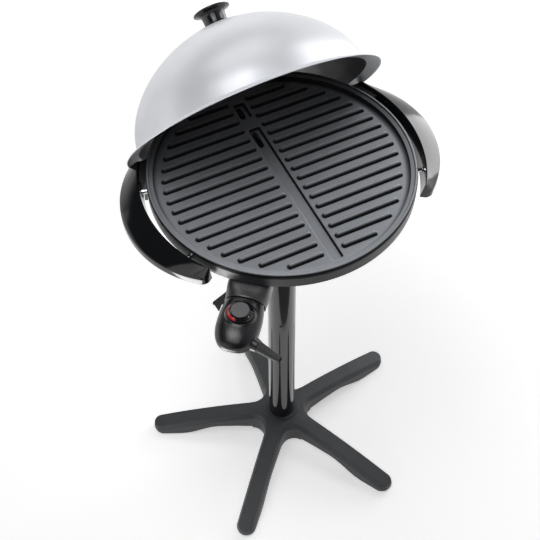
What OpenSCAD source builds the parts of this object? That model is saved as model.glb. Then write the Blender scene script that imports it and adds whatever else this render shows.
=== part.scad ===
// Electric grill on a pedestal, with a domed lid hung behind the plate.
// Millimetres. +Z up, front (the cook's side) towards -Y. Heights marked
// "below the rim" are measured down from the top of the plate's rim.

/* [Plate] */
// Outside diameter of the grill plate
plate_d = 420; // [400:5:440]
// Height of the plate's rim above the floor
rim_height = 793; // [700:1:900]
// Depth of the cooking floor below the rim
floor_depth = 11; // [9:0.5:12]
// Thickness of the cast plate under the cooking floor
plate_wall = 5.5; // [5:0.5:7]
// Width of the rounded bead along the rim
rim_bead = 5.5; // [4:0.5:7]
// Depth of the lip that hangs over the housing
lip_depth = 7; // [6:0.5:8]

/* [Ribs and groove] */
// Distance between two neighbouring ribs
rib_pitch = 21; // [18:0.5:24]
// Number of rib rows from front to back
rib_rows = 17; // [9:2:19]
// Half the width of a rib
rib_r = 4.6; // [3.5:0.1:5.5]
// Radius of the circle on which the ribs end
rib_reach = 186; // [170:1:190]
// Distance of the ribs' inner ends from the centre line
rib_inner = 15; // [13:0.5:20]
// How far the whole rib field sits behind the plate's centre
rib_shift = 2.6; // [0:0.2:5]
// Width of the fat groove
groove_w = 18.6; // [14:0.2:22]
// Depth of the fat groove below the cooking floor
groove_depth = 4.4; // [3:0.2:5]
// Width of the drain slots in the groove
slot_w = 9; // [6:0.5:11]

/* [Housing] */
// Height of the housing's side band below the plate's lip
skirt_h = 19.3; // [14:0.1:24]
// Wall of the moulded housing
housing_wall = 2.5; // [2:0.1:3.5]
// Depth of the pan's underside below the rim
pan_depth = 60.5; // [58:0.5:70]
// Radius of the pan's flat bottom
pan_bottom_r = 176; // [165:1:180]
// Gap between pieces that only rest on each other
seat_gap = 0.3; // [0.2:0.05:0.4]

/* [Handles] */
// Radius of the handle's inner top edge
handle_in_r = 222; // [218:1:226]
// Radius of the handle's outer outline
handle_out_r = 165; // [158:1:170]
// Distance of that outline's centre from the column's axis
handle_out_x = 93; // [88:1:98]
// Depth of the handle's outer edge below the rim
handle_drop = 18; // [14:0.5:20]
// Height of the handle's outer band
handle_band = 12.4; // [10:0.2:16]
// Direction in which the handle's front tip ends
handle_front = -35.5; // [-40:0.5:-32]
// Direction in which the handle's rear end stops, under the hung lid's rim
handle_rear = 31; // [28:0.5:32]
// Radius of the chrome stand-off posts
post_r = 4.5; // [3.5:0.1:5.5]

/* [Lid] */
// Outside diameter of the lid's rim
lid_d = 428; // [424:1:436]
// Height of the dome above the rim's plane
lid_h = 155; // [130:1:170]
// Radius of the dome where it meets the flared rim
dome_r = 192.3; // [188:0.1:196]
// Thickness of the lid's sheet
lid_wall = 1.8; // [1.2:0.1:2.5]
// Angle by which the hung lid leans back
lid_tilt = 59.9; // [55:0.1:62]
// How far behind the column's axis the hung lid's rim is centred
lid_back = 95; // [92:0.5:100]
// How far above the plate's rim the hung lid's rim is centred
lid_up = 24.1; // [22:0.1:30]
// Diameter of the lid's knob
knob_d = 61; // [44:1:64]
// Height of the lid's knob
knob_h = 30; // [28:1:34]

/* [Thermostat] */
// Direction of the plug-in thermostat, counted from +X
probe_az = 230.3; // [228:0.1:233]
// Distance of the thermostat's inner face from the column's axis
probe_face = 231.6; // [228:0.1:236]
// Length of the thermostat's body
probe_len = 82; // [74:1:90]
// Half the width of the thermostat's body
probe_half_w = 30; // [27:0.5:32]
// Depth of the split between its two shells below the rim
probe_split = 50; // [48:0.5:52]
// Depth of the heat probe and the terminal pins below the rim
probe_axis = 48; // [46:0.5:49]
// Radius of the heat probe
probe_r = 3; // [2.5:0.1:3.2]
// Distance of each terminal pin from the probe
pin_offset = 14; // [12:0.5:16]
// Radius of the terminal pins
pin_r = 2.4; // [2:0.1:2.8]
// Diameter of the dial
dial_d = 38.5; // [34:0.5:40]
// Height of the dial
dial_h = 13; // [9:0.5:16]
// Radius of the cord guard's bore
lead_r = 3.6; // [3:0.1:4]

/* [Heater] */
// Radius of the heating element's ring
element_ring_r = 120; // [105:1:130]
// Radius of the element's tube
element_r = 3.5; // [3:0.1:4]
// Depth of the element below the rim
element_depth = 30; // [28:0.5:32]

/* [Stand] */
// Diameter of the column
column_d = 50; // [45:1:54]
// Wall of the column's tubes
column_wall = 1.5; // [1.2:0.1:2]
// Height of the seam between the two halves of the column
seam_height = 506; // [420:1:540]
// Height of the spring button
button_height = 391; // [380:1:400]
// Radius of the spring button
button_r = 3; // [2.5:0.1:4]
// Height of the star base's hub
hub_h = 72; // [66:1:76]
// Number of arms of the star base
arms = 5; // [5:1:5]
// Distance from the column's axis to the centre of an arm's round tip
arm_reach = 245; // [220:1:250]
// Half the width of an arm's flat top
arm_top_w = 13.5; // [11:0.5:15]
// Half the width of an arm at its widest
arm_half_w = 19; // [17:0.5:20]
// Direction of the rear arm
arm_turn = 83.3; // [80:0.1:100]

/* [Drip tray] */
// Length of the drip tray, across the grill
tray_len = 160; // [140:2:180]
// Depth of the drip tray
tray_deep = 20; // [15:1:24]

/* [Hidden] */
$fn = 64;

// The column stands behind the middle of the object's footprint.
axis_back = 9.9;
plate_r = plate_d / 2;
eps = 0.01;

// Plate
plate_under = floor_depth + plate_wall;
keel_depth = floor_depth + groove_depth + plate_wall - 0.5;
plate_step_r = plate_r - 6.5;
groove_front = -(plate_r - 22);
groove_back = 160;
bridge_front = 101;
bridge_back = 126;
slot_x = -3;
slots = [[62, 98], [129, 156]];

// Housing
skirt_top = lip_depth + seat_gap;
skirt_bottom = skirt_top + skirt_h;
skirt_r = plate_r - 0.5;
pan_top_r = skirt_r - 9;
pan_floor = pan_depth - housing_wall;

// Lid
lid_r = lid_d / 2;
flare_h = 8;
dome_power = 1.836;
knob_screw_r = 2.4;

// Thermostat, in its own frame: +X away from the column, Z from the rim
hood_end = probe_face - 0.6;
hood_wall = 2.5;
hood_low = probe_split + 8;
hood_half_w = probe_half_w + 1.3;
hood_top = 28.5;
crown_r = 50;
shoulder_r = 20.5;
shoulder_y = hood_half_w - shoulder_r;
shoulder_z = sqrt(pow(crown_r - shoulder_r, 2) - shoulder_y * shoulder_y) - crown_r - hood_top;
body_end = probe_face + probe_len;
dial_at = [260.3, 1.2];
dial_seat = hood_top + 0.9;
spindle_r = 3;
running = 0.05;
guard_start = [295, 37];
guard_az = 67.5;
guard_len = 38;
guard_depth = 54;
neck_r = 8.9;
lens_x = 287;
lens_r = 1.5;
body_drop = 2.6;
body_bulge = 1.6;
tip_r = 15;
tip_spread = 11.5;
nose_start = 202;
block_start = 178;
block_end = 200;
bend_r = 15;

// Stand
column_r = column_d / 2;
sleeve_r = column_r - column_wall - 0.1;
sleeve_wall = 1.5;
button_az = 240;
socket_floor = 30;
hub_floor = 18;
arch_h = 28;
pad_h = 3;
bolt_r = 4;
arc_r = 1150;
arc_x = -99;
arc_top = hub_h + 4.6;
web_axis = (arm_top_w + 30) / sin(180 / arms);
web_r = 30;

// Drip tray
tray_front = 52;
tray_back = 141;
tray_top = pan_depth + 3.8;
tray_x = -tray_len / 2 + 8;
sheet = 1.5;

boss_r = 104;
boss_az = [20, 140, 290];
flange_r = 45;
flange_screw_r = 36;
post_az = [16.5, -24];
post_depth = 15;
handle_screw_r = 2.5;
rest_az = [19.5, 40];
rest_low = 50;
handle_wall_r = handle_in_r - 4.4;
tip_turn = 1.7;

function arc(cx, cy, r, a0, a1, n) =
    [for (i = [0 : n]) [cx + r * cos(a0 + (a1 - a0) * i / n), cy + r * sin(a0 + (a1 - a0) * i / n)]];

// Height of the dome above the rim's plane, at a share t of its sweep
function dome(a, h, t) =
    [a * pow(cos(t), 2 / dome_power), flare_h + (h - flare_h) * pow(sin(t), 2 / dome_power)];

// Radius of the handle's outline, seen from the column's axis in direction a
function handle_edge(a) =
    handle_out_x * cos(a) + sqrt(pow(handle_out_r, 2) - pow(handle_out_x * sin(a), 2));

// Everything stands on the column's axis, and the rim is at Z 0 of at_rim
module on_axis() translate([0, axis_back, 0]) children();
module at_rim() on_axis() translate([0, 0, rim_height]) children();
module at_probe() at_rim() rotate([0, 0, probe_az]) children();
module at_lid() at_rim() translate([0, lid_back, lid_up]) rotate([-lid_tilt, 0, 0]) children();

// A cylinder along +X from x0 to x1
module bar(x0, x1, r) translate([x0, 0, 0]) rotate([0, 90, 0]) cylinder(h = x1 - x0, r = r);

// Stand

// Cross-section of an arm, hanging down from the arc of its top face
module arm_half(depth) {
    polygon([[0, 0], [arm_top_w, 0], [arm_half_w - 1, -11], [arm_half_w, -depth], [0, -depth]]);
}

// One arm along +X: its bevelled section swept along a long arc, with a round tip
module arm() {
    tip_turn = asin((arm_reach - arc_x) / arc_r);
    hub_turn = asin((34 - arc_x) / arc_r);
    intersection() {
        translate([arc_x, 0, arc_top - arc_r]) {
            rotate([90, 0, 0]) rotate([0, 0, 90 - tip_turn])
                rotate_extrude(angle = tip_turn - hub_turn, $fn = 180)
                    translate([arc_r, 0]) rotate([0, 0, -90]) {
                        arm_half(60);
                        mirror([1, 0]) arm_half(60);
                    }
            rotate([0, tip_turn, 0]) translate([0, 0, arc_r]) rotate_extrude() arm_half(60);
        }
        rotate([90, 0, 0]) linear_extrude(height = 60, center = true) arm_side();
    }
}

// Side view of an arm: flat pad under the tip, then an arched underside
module arm_side() {
    heel = arm_reach - 41;
    arch_x = 125;
    polygon(concat(
        [[30, arch_h - 2.5], [60, arch_h - 2], [90, arch_h]],
        [for (t = [0 : 0.2 : 1]) [arch_x + (heel - arch_x) * t, pad_h + (arch_h - pad_h) * (1 + cos(180 * t)) / 2]],
        [[arm_reach + 30, pad_h], [arm_reach + 30, hub_h + 10], [30, hub_h + 10]]));
}

// Hollow under an arm, with the same wall all round
module arm_channel() {
    x0 = 68;
    x1 = arm_reach - 52;
    drop0 = arc_r - sqrt(arc_r * arc_r - pow(x0 - arc_x, 2));
    drop1 = arc_r - sqrt(arc_r * arc_r - pow(x1 - arc_x, 2));
    rotate([90, 0, 0]) linear_extrude(height = 2 * (arm_top_w - 2), center = true)
        polygon([[x0, -1], [x1, -1], [x1, arc_top - drop1 - 7], [x0, arc_top - drop0 - 6]]);
}

module star_base() color([0.27, 0.28, 0.30]) on_axis() difference() {
    union() {
        for (i = [0 : arms - 1]) rotate([0, 0, arm_turn + i * 360 / arms]) arm();
        difference() {
            rotate_extrude() polygon([[0, hub_floor], [62, arch_h - 6], [62, arc_top - 11.5],
                [45, arc_top - 8.6], [32.5, arc_top - 7], [32, hub_h], [0, hub_h]]);
            for (i = [0 : arms - 1]) rotate([0, 0, arm_turn + (i + 0.5) * 360 / arms])
                translate([web_axis, 0, 0]) rotate_extrude()
                    polygon([[0, 0], [web_r - 6, 0], [web_r - 4.5, hub_h - 16],
                             [web_r, hub_h - 5], [web_r + 4, hub_h + 5], [0, hub_h + 5]]);
        }
    }
    for (i = [0 : arms - 1]) rotate([0, 0, arm_turn + i * 360 / arms]) arm_channel();
    translate([0, 0, socket_floor]) cylinder(h = hub_h, r = column_r + 2 * running);
    translate([0, 0, -1]) cylinder(h = hub_h, r = bolt_r + 0.2);
}

module foot_pads() color([0.1, 0.1, 0.1]) on_axis()
    for (i = [0 : arms - 1]) rotate([0, 0, arm_turn + i * 360 / arms])
        translate([arm_reach - 6, 0, 0]) cylinder(h = pad_h, r = 13);

module base_bolt() color("silver") on_axis() {
    translate([0, 0, hub_floor - 6]) cylinder(h = 6, r = 7.5, $fn = 6);
    translate([0, 0, hub_floor - eps]) cylinder(h = socket_floor + 10 - hub_floor, r = bolt_r);
}

module column_plug() color([0.2, 0.2, 0.2]) on_axis() translate([0, 0, socket_floor]) difference() {
    cylinder(h = 22, r = column_r - column_wall);
    translate([0, 0, -1]) cylinder(h = 24, r = bolt_r + running);
}

module tube(z0, z1, r, wall) translate([0, 0, z0]) difference() {
    cylinder(h = z1 - z0, r = r);
    translate([0, 0, -1]) cylinder(h = z1 - z0 + 2, r = r - wall);
}

module column_lower() color([0.12, 0.12, 0.13]) on_axis() difference() {
    tube(socket_floor, seam_height, column_r, column_wall);
    translate([0, 0, button_height]) rotate([0, 0, button_az]) bar(0, column_r + 5, button_r + running);
}

// The upper half carries the plate that the grill is screwed to
module column_upper() color([0.12, 0.12, 0.13]) on_axis() {
    top = rim_height - pan_depth;
    tube(seam_height, top - 2, column_r, column_wall);
    translate([0, 0, top - 2.5]) difference() {
        cylinder(h = 2.5, r = flange_r);
        for (a = [45 : 90 : 315]) rotate([0, 0, a]) translate([flange_screw_r, 0, -1]) cylinder(h = 5, r = 2.6);
    }
}

module joiner_sleeve() color([0.55, 0.55, 0.57]) on_axis() difference() {
    tube(button_height - 25, seam_height + 110, sleeve_r, sleeve_wall);
    translate([0, 0, button_height]) rotate([0, 0, button_az]) bar(0, column_r + 5, button_r + running);
}

module lock_button() color([0.1, 0.1, 0.1]) on_axis()
    translate([0, 0, button_height]) rotate([0, 0, button_az]) {
        bar(sleeve_r - sleeve_wall - 4, column_r + 0.4, button_r);
        translate([column_r + 0.4, 0, 0]) rotate([0, 90, 0]) cylinder(h = 0.8, r1 = button_r, r2 = button_r - 0.8);
        bar(sleeve_r - sleeve_wall - 4, sleeve_r - sleeve_wall - 2.2, button_r + 2);
    }

// Folded spring strip that carries the button inside the sleeve
module button_clip() color("silver") on_axis() translate([0, 0, button_height]) rotate([0, 0, button_az])
    rotate([90, 0, 0]) linear_extrude(height = 9, center = true) {
        front = sleeve_r - sleeve_wall - 4.1;
        bend = front - 0.5;
        translate([front - 1, -24]) square([1, 34]);
        translate([-front, -24]) square([1, 34]);
        intersection() {
            translate([0, -24]) difference() {
                circle(r = front);
                circle(r = front - 1);
            }
            translate([-30, -24 - 30]) square([60, 30]);
        }
    }

module column_screws() color("silver") at_rim() for (a = [45 : 90 : 315]) rotate([0, 0, a])
    translate([flange_screw_r, 0, 0]) {
        translate([0, 0, -pan_floor]) cylinder(h = 2.6, r = 4.6);
        translate([0, 0, -pan_depth - 8]) cylinder(h = 8 + housing_wall + eps, r = 2.5);
        translate([0, 0, -pan_depth - 6.5]) cylinder(h = 4, r = 4.4, $fn = 6);
    }

// Housing and heater

module base_housing() color([0.2, 0.205, 0.215]) at_rim() difference() {
    union() {
        rotate_extrude($fn = 180) polygon([[0, -pan_depth], [pan_bottom_r, -pan_depth],
            [pan_top_r, -skirt_bottom], [skirt_r - 1.2, -skirt_bottom], [skirt_r, -skirt_bottom + 1.2],
            [skirt_r, -skirt_top], [skirt_r - 4.8, -skirt_top], [skirt_r - 4.8, -skirt_top - 2.5],
            [skirt_r - housing_wall, -skirt_top - 2.5], [skirt_r - housing_wall, -skirt_bottom + housing_wall],
            [pan_top_r - 2.2, -skirt_bottom + housing_wall], [pan_bottom_r - 1.5, -pan_floor], [0, -pan_floor]]);
        for (a = boss_az) rotate([0, 0, a]) translate([boss_r, 0, -pan_floor - eps])
            cylinder(h = pan_floor - 53 + eps, r = 6);
    }
    for (a = [45 : 90 : 315]) rotate([0, 0, a]) translate([flange_screw_r, 0, -pan_depth - 1]) cylinder(h = 5, r = 2.6);
    for (a = boss_az) rotate([0, 0, a]) translate([boss_r, 0, -pan_floor + 0.5]) cylinder(h = 10, r = 2.05);
    for (side = [0, 1], a = post_az) mirror([side, 0, 0]) rotate([0, 0, a]) translate([0, 0, -post_depth])
        bar(skirt_r - 8, skirt_r + 2, 2.6);
    rotate([0, 0, probe_az]) translate([150, -24.2, -57.7]) cube([60, 48.4, 23.9]);
    translate([-17, 58, -pan_depth - 1]) cube([34, 78, 5]);
}

// Shallow aluminium dish that throws the heat up, with a mouth over the drip tray
module reflector() color([0.75, 0.76, 0.78]) at_rim() difference() {
    union() {
        rotate_extrude($fn = 128) polygon([[0, -53], [pan_bottom_r - 4, -53], [pan_bottom_r + 5.5, -40],
            [pan_bottom_r + 5.5, -39], [pan_bottom_r + 4.5, -39], [pan_bottom_r - 4.5, -52], [0, -52]]);
        translate([-15, 60, -pan_depth + 0.5]) cube([30, 74, pan_depth - 52.5]);
    }
    translate([-14, 61, -pan_depth - 1]) cube([28, 72, 12]);
    for (a = boss_az) rotate([0, 0, a]) translate([boss_r, 0, -60]) cylinder(h = 10, r = 2.1);
    rotate([0, 0, probe_az]) translate([150, -26, -51.9]) cube([40, 52, 20]);
}

module reflector_screws() color("silver") at_rim() for (a = boss_az) rotate([0, 0, a]) translate([boss_r, 0, 0]) {
    translate([0, 0, -pan_floor + 0.5]) cylinder(h = pan_floor - 51.3, r = 2);
    translate([0, 0, -50.8]) cylinder(h = 2, r = 3.6);
}

// Three clips: a foot under each screw and an upright with a saddle for the tube
module element_clips() color([0.7, 0.7, 0.72]) at_rim() for (a = boss_az) rotate([0, 0, a]) difference() {
    union() {
        translate([boss_r - 8, -5, -52]) cube([element_ring_r + 5 - boss_r + 8, 10, 1.2]);
        translate([element_ring_r - 5, -5, -52]) cube([10, 10, 52 - element_depth + 1]);
    }
    translate([boss_r, 0, -60]) cylinder(h = 12, r = 2.1);
    translate([0, 0, -element_depth]) rotate([0, 0, -20])
        rotate_extrude(angle = 40, $fn = 128) translate([element_ring_r, 0]) circle(r = element_r + running);
    translate([element_ring_r - element_r, -6, -element_depth]) cube([2 * element_r, 12, 5]);
}

// A tube between two points
module rod_between(a, b, r) {
    d = b - a;
    len = norm(d);
    translate(a) rotate([0, acos(d[2] / len), atan2(d[1], d[0])]) cylinder(h = len, r = r);
}

module heating_element() color([0.35, 0.34, 0.33]) at_probe() {
    turn = asin((pin_offset + bend_r) / (element_ring_r + bend_r));
    bend_x = (element_ring_r + bend_r) * cos(turn);
    bead_r = element_r + 0.06;
    translate([0, 0, -element_depth]) {
        rotate([0, 0, turn]) rotate_extrude(angle = 360 - 2 * turn, $fn = 128)
            translate([element_ring_r, 0]) circle(r = element_r);
        for (side = [0, 1]) mirror([0, side, 0]) {
            translate([bend_x, pin_offset + bend_r, 0]) rotate([0, 0, 180 + turn])
                rotate_extrude(angle = 90 - turn, $fn = 96) translate([bend_r, 0]) circle(r = element_r);
            rotate([0, 0, turn]) translate([element_ring_r, 0, 0]) sphere(r = bead_r);
        }
    }
    for (y = [-pin_offset, pin_offset]) {
        translate([bend_x, y, -element_depth]) sphere(r = bead_r);
        rod_between([bend_x, y, -element_depth], [block_start - 12, y, -probe_axis], element_r);
        translate([block_start - 12, y, -probe_axis]) sphere(r = bead_r);
        translate([0, y, -probe_axis]) bar(block_start - 12, block_start - 1, element_r);
    }
}

module terminal_block() color([0.85, 0.83, 0.78]) at_probe() difference() {
    translate([block_start, -24, -57.5]) cube([block_end - block_start, 48, 23.5]);
    for (y = [-pin_offset, pin_offset]) translate([0, y, -probe_axis]) bar(block_start - 1, block_end + 1, pin_r + running);
    translate([0, 0, -probe_axis]) bar(block_start - 1, block_end + 1, probe_r + 0.6);
}

module terminal_pins() color("silver") at_probe()
    for (y = [-pin_offset, pin_offset]) translate([0, y, -probe_axis]) {
        bar(block_start - 1, 221, pin_r);
        translate([221, 0, 0]) sphere(r = pin_r);
    }

// Section of the hood and of the thermostat: a flat crown between two round shoulders
module arch(inset, low) intersection() {
    crown_z = -hood_top - crown_r;
    union() {
        for (side = [-1, 1]) translate([side * shoulder_y, shoulder_z]) circle(r = shoulder_r - inset, $fn = 96);
        intersection() {
            translate([0, crown_z]) circle(r = crown_r - inset, $fn = 128);
            polygon([[0, crown_z], [2 * shoulder_y, 2 * shoulder_z - crown_z],
                     [-2 * shoulder_y, 2 * shoulder_z - crown_z]]);
        }
        translate([-hood_half_w + inset, -low]) square([2 * (hood_half_w - inset), low + shoulder_z]);
    }
    translate([-hood_half_w - 5, -low]) square([2 * hood_half_w + 10, low]);
}

module along_probe(x0, x1) translate([x0, 0, 0]) rotate([90, 0, 90]) linear_extrude(height = x1 - x0) children();

// Everything inside the pan's outside face
module pan_clear() rotate_extrude($fn = 180) polygon([[0, -80], [pan_bottom_r - 13.1, -80],
    [pan_top_r + 0.05, -skirt_bottom], [pan_top_r + 0.05, 0], [0, 0]]);

// The hood's collar closes it against the underside of the band
module probe_hood() color([0.23, 0.235, 0.245]) at_probe() difference() {
    union() {
        along_probe(196, hood_end) arch(0, hood_low);
        intersection() {
            rotate_extrude($fn = 180) translate([pan_top_r - 2, -hood_low])
                square([skirt_r - 0.2 - pan_top_r + 2, hood_low - skirt_bottom]);
            translate([150, -hood_half_w, -80]) cube([100, 2 * hood_half_w, 80]);
        }
    }
    along_probe(190, hood_end + 5) arch(hood_wall, hood_low + 1);
    pan_clear();
    translate([150, -24.1, -60]) cube([50.1, 48.2, 26.1]);
}

// Small stay beside the hood, its outer corner past the hood's left edge
module hood_fin() color([0.25, 0.25, 0.265]) at_probe() difference() {
    translate([0, 0, -hood_low]) linear_extrude(height = 3) polygon(concat([[200, -hood_half_w], [212, -35]],
        arc(234, -45.5, 3, -110, 10, 4), [[246, -36], [246, -35.4], [233, -34.6], [231, -hood_half_w]]));
    pan_clear();
}

// Drip tray and its runners

module tray_runners() color([0.2, 0.2, 0.21]) at_rim() for (side = [0, 1]) {
    edge = side == 0 ? tray_front - 4.5 : tray_back + 4.5;
    foot = side == 0 ? edge : edge - 3.2;
    translate([tray_x - 4, side == 0 ? edge - 1.5 : edge, -pan_depth - 7]) cube([tray_len, 1.5, 7]);
    translate([tray_x - 4, foot - 0.5 + side * 0.5, -pan_depth - 7.0]) cube([tray_len, 3.7, 1.3]);
}

module drip_tray() color([0.6, 0.61, 0.63]) at_rim() translate([tray_x, tray_front, -tray_top - tray_deep]) {
    width = tray_back - tray_front;
    difference() {
        cube([tray_len, width, tray_deep]);
        translate([sheet, sheet, sheet]) cube([tray_len - 2 * sheet, width - 2 * sheet, tray_deep]);
    }
    translate([0, 0, tray_deep - sheet]) difference() {
        translate([0, -4, 0]) cube([tray_len, width + 8, sheet]);
        translate([sheet, sheet, -1]) cube([tray_len - 2 * sheet, width - 2 * sheet, 4]);
    }
    translate([tray_len, width / 2 - 22, tray_deep - 9]) difference() {
        cube([13, 44, 9]);
        translate([-1, 2, -1]) cube([12, 40, 8.5]);
    }
}

// Grill plate

module rib(y, side) {
    reach = sqrt(rib_reach * rib_reach - y * y);
    translate([0, y, -floor_depth]) mirror([side, 0, 0]) {
        bar(rib_inner + rib_r, reach - rib_r, rib_r);
        for (x = [rib_inner + rib_r, reach - rib_r]) translate([x, 0, 0]) sphere(r = rib_r, $fn = 32);
    }
}

module grill_plate() color([0.36, 0.365, 0.375]) at_rim() difference() {
    union() {
        rotate_extrude($fn = 240) polygon(concat(
            [[0, -plate_under], [plate_step_r - 8, -plate_under], [plate_step_r, -lip_depth - 2],
             [plate_step_r, -lip_depth], [plate_r, -lip_depth]],
            arc(plate_r - rim_bead / 2, -rim_bead / 2, rim_bead / 2, 0, 125, 7),
            arc(plate_r - 20, -floor_depth + 9.3, 9.3, -12, -90, 6),
            [[0, -floor_depth]]));
        intersection() {
            translate([-groove_w / 2 - 4, groove_front - 2, -keel_depth]) cube([groove_w + 8, 2 * plate_r, 8]);
            translate([0, 0, -keel_depth]) cylinder(h = 8, r = plate_r - 16);
        }
        for (i = [0 : rib_rows - 1], side = [0, 1]) rib((i - (rib_rows - 1) / 2) * rib_pitch + rib_shift, side);
    }
    for (run = [[groove_front, bridge_front], [bridge_back, groove_back]])
        translate([-groove_w / 2, run[0], -floor_depth - groove_depth]) cube([groove_w, run[1] - run[0], 12]);
    for (run = slots) translate([slot_x, 0, -keel_depth - 1]) {
        for (y = [run[0] + slot_w / 2, run[1] - slot_w / 2]) translate([0, y, 0]) cylinder(h = 12, r = slot_w / 2);
        translate([-slot_w / 2, run[0] + slot_w / 2, 0]) cube([slot_w, run[1] - run[0] - slot_w, 12]);
    }
}

// Bracket on the plate's edge: a wall in the gap behind each handle and, lower
// down, a cradle for the hung lid's rim
module lid_rest() difference() {
    union() {
        rotate([0, 0, rest_az[0]]) rotate_extrude(angle = rest_az[1] - rest_az[0], $fn = 240)
            polygon([[plate_r - 1, -rest_low], [handle_in_r - 7.1, -rest_low], [handle_in_r - 7.1, -31],
                     [handle_in_r - 1.8, -4.2], [plate_r - 1, -4.2]]);
        translate([0, 0, -rest_low]) linear_extrude(height = 16)
            polygon([[170, 127.4], [199, 127.4], [199, 134], [195, 141], [160, 141]]);
    }
    translate([0, 0, -60]) cylinder(h = 65, r = plate_r, $fn = 240);
    lid_clear();
}

// Room that the hung lid's rim and dome take
module lid_clear() translate([0, lid_back, lid_up]) rotate([-lid_tilt, 0, 0])
    translate([0, 0, -seat_gap]) cylinder(h = 60, r = lid_r + seat_gap, $fn = 240);

module lid_rest_right() color([0.15, 0.15, 0.16]) at_rim() lid_rest();
module lid_rest_left() color([0.15, 0.15, 0.16]) at_rim() mirror([1, 0, 0]) lid_rest();

// Handles

// Share of its full width that the handle has in direction a, for a rounded tip
function tip_share(a) =
    a < handle_front + tip_turn ? sqrt(max(0, 1 - pow((handle_front + tip_turn - a) / tip_turn, 2))) : 1;

// Crescent between the inner wall and the outline, with its top falling outwards
module crescent(inset, top_inset, a0, a1) {
    n = 26;
    stations = concat([for (t = [0, 0.1, 0.35, 0.7, 1.15]) a0 + t * tip_turn],
        [for (i = [1 : n]) a0 + 1.5 * tip_turn + (a1 - a0 - 1.5 * tip_turn) * (i - 1) / (n - 1)]);
    last = len(stations) - 1;
    low = -handle_drop - handle_band - (inset > 0 ? 5 : 0);
    slim = handle_in_r + 1 + inset;
    points = [for (a = stations) let (o = slim + max(handle_edge(a) - inset - slim, 0) * tip_share(a))
        each [for (p = [[handle_in_r + inset, 2.5 - top_inset], [o, -handle_drop - top_inset],
                        [o, low], [handle_in_r - 6.5 + inset, low]])
              [p[0] * cos(a), p[0] * sin(a), p[1]]]];
    polyhedron(points, concat(
        [[0, 1, 2, 3]],
        [for (i = [0 : last - 1], k = [0 : 3]) let (q = 4 * i, m = (k + 1) % 4)
            each [[q + k, q + 4 + k, q + m], [q + m, q + 4 + k, q + 4 + m]]],
        [[4 * last + 3, 4 * last + 2, 4 * last + 1, 4 * last]]));
}

module handle() difference() {
    union() {
        difference() {
            crescent(0, 0, handle_front, handle_rear);
            crescent(2.6, 3, handle_front + 3, handle_rear - 4);
        }
        for (a = post_az) rotate([0, 0, a]) translate([0, 0, -post_depth]) bar(handle_wall_r, handle_in_r + 7, 6);
    }
    for (a = post_az) rotate([0, 0, a]) translate([0, 0, -post_depth])
        bar(handle_wall_r - 1, handle_in_r + 5, handle_screw_r + running);
    lid_clear();
}

module handle_right() color([0.07, 0.07, 0.08]) at_rim() handle();
module handle_left() color([0.07, 0.07, 0.08]) at_rim() mirror([1, 0, 0]) handle();

module handle_posts() color([0.85, 0.86, 0.88]) at_rim() for (side = [0, 1], a = post_az) mirror([side, 0, 0])
    rotate([0, 0, a]) difference() {
        translate([0, 0, -post_depth]) bar(skirt_r - 4, handle_wall_r, post_r);
        translate([0, 0, -post_depth]) bar(skirt_r - 5, handle_wall_r + 1, 2.6);
        translate([0, 0, -60]) cylinder(h = 80, r = skirt_r, $fn = 180);
    }

module handle_screws() color("silver") at_rim() for (side = [0, 1], a = post_az) mirror([side, 0, 0])
    rotate([0, 0, a]) translate([0, 0, -post_depth]) {
        bar(skirt_r - housing_wall - 3, skirt_r - housing_wall - 0.2, 4.2);
        bar(skirt_r - housing_wall - 0.3, handle_in_r + 4, handle_screw_r);
    }

// Lid

module lid_outer(inset) polygon(concat(
    [[0, flare_h - 30], [lid_r - inset, flare_h - 30], [lid_r - inset, 1.2 - inset], [lid_r - 1.2 - inset, 3 - inset],
     [lid_r - 4 - inset, 3.6 - inset], [lid_r - 10, 4.6 - inset], [lid_r - 11, 6 - inset], [lid_r - 15, 6.8 - inset],
     [lid_r - 16, 8.2 - inset], [dome_r + 1.5 - inset, 9 - inset]],
    [for (i = [1 : 26]) dome(dome_r - inset, lid_h - inset, 90 * i / 26)]));

module lid_shell() color([0.82, 0.83, 0.85]) at_lid() difference() {
    rotate_extrude($fn = 240) lid_outer(0);
    rotate_extrude($fn = 240) lid_outer(lid_wall);
    translate([0, 0, -50]) cylinder(h = 50, r = lid_r + 5);
    cylinder(h = lid_h + 5, r = knob_screw_r + 0.2);
}

module knob_washer() color([0.1, 0.1, 0.1]) at_lid() difference() {
    translate([0, 0, lid_h - 3]) cylinder(h = 4.5, r = 17.6);
    rotate_extrude($fn = 240) lid_outer(0);
    cylinder(h = lid_h + 5, r = knob_screw_r + 0.2);
}

module lid_knob() color([0.06, 0.06, 0.065]) at_lid() translate([0, 0, lid_h + 1.5]) difference() {
    rotate_extrude() polygon(concat(
        [[0, 0], [18, 0], [18.5, 1], [19, 9], [19.8, 17.5], [knob_d / 2 - 4, 20.5], [knob_d / 2 - 0.6, 22.4]],
        arc(knob_d / 2 - 1.6, 23.7, 1.6, -35, 80, 5),
        [[knob_d / 2 - 6, knob_h - 3.6], [knob_d / 2 - 14, knob_h - 1.3], [0, knob_h]]));
    translate([0, 0, -1]) cylinder(h = 19, r = knob_screw_r + running);
}

module knob_screw() color("silver") at_lid() {
    translate([0, 0, lid_h - lid_wall - 3.5]) cylinder(h = 3, r = 5.5);
    translate([0, 0, lid_h - lid_wall - 0.6]) cylinder(h = 17.6, r = knob_screw_r);
}

// Thermostat

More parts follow.
